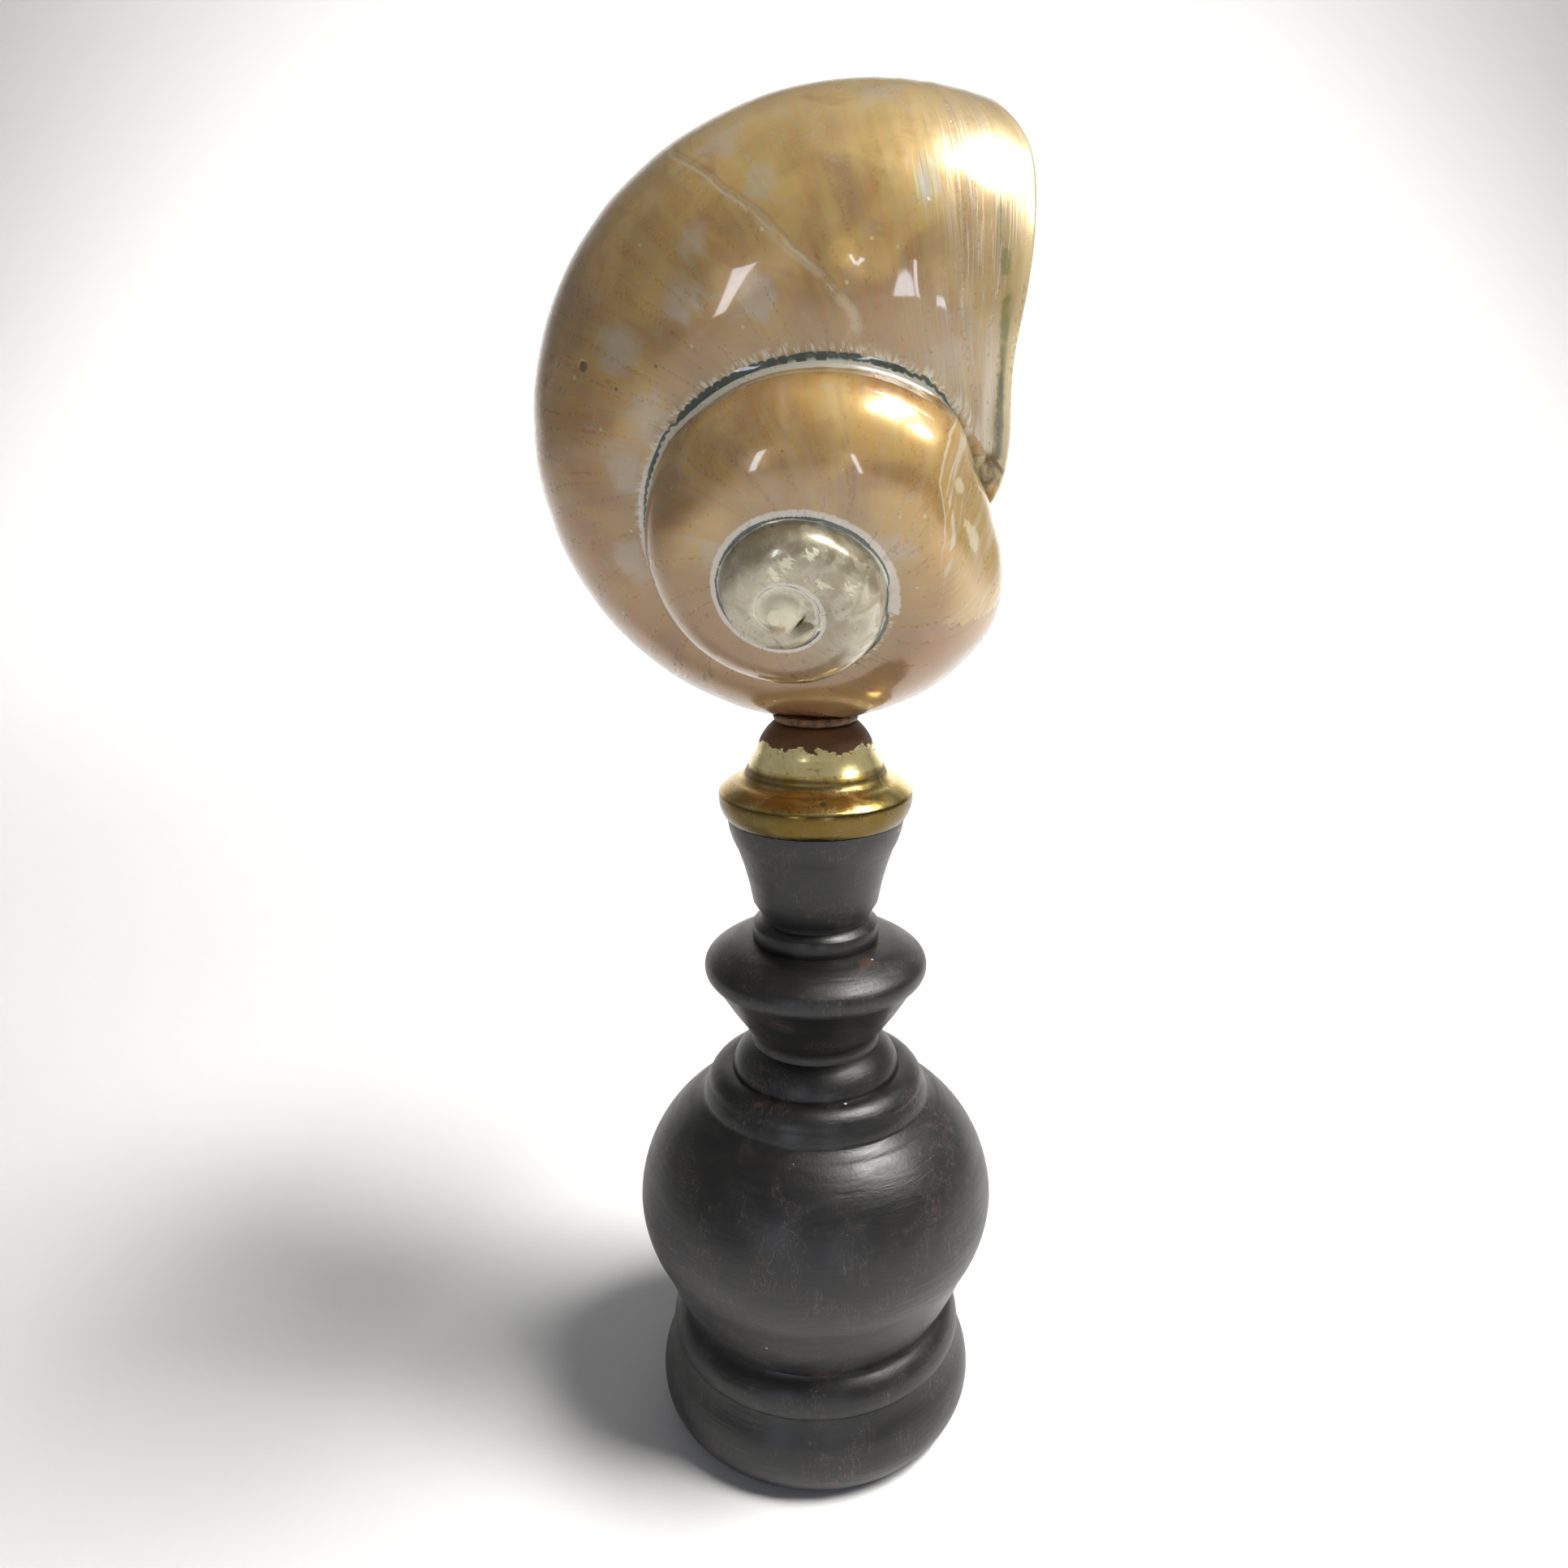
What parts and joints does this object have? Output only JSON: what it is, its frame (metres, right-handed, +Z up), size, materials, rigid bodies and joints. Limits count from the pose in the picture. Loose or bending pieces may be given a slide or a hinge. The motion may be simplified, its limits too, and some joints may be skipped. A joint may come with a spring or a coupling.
{
  "type": "mounted turban shell",
  "caption": "Polished turban shell with a pearly coiled body and open mouth, glued on a turned black wooden stand with a flared brass cap.",
  "frame": {"origin": "centre of the stand's flat underside, on the axis of its turning", "axes": "+Z up along the stand, -Y towards the side that shows the spire of the shell, +X towards the side of its mouth"},
  "size_m": [0.0959, 0.0926, 0.2811],
  "materials": {
    "nacre": "polished, translucent honey-coloured mother of pearl",
    "old_glue": "dark brown, matt",
    "aged_brass": "polished, aged, with brown stains",
    "black_paint": "turned wood under satin black paint"
  },
  "bodies": {
    "root": {"turban_shell": "nacre", "mastic_bead": "old_glue", "brass_cap": "aged_brass", "turned_stand": "black_paint"}
  },
  "joints": []
}
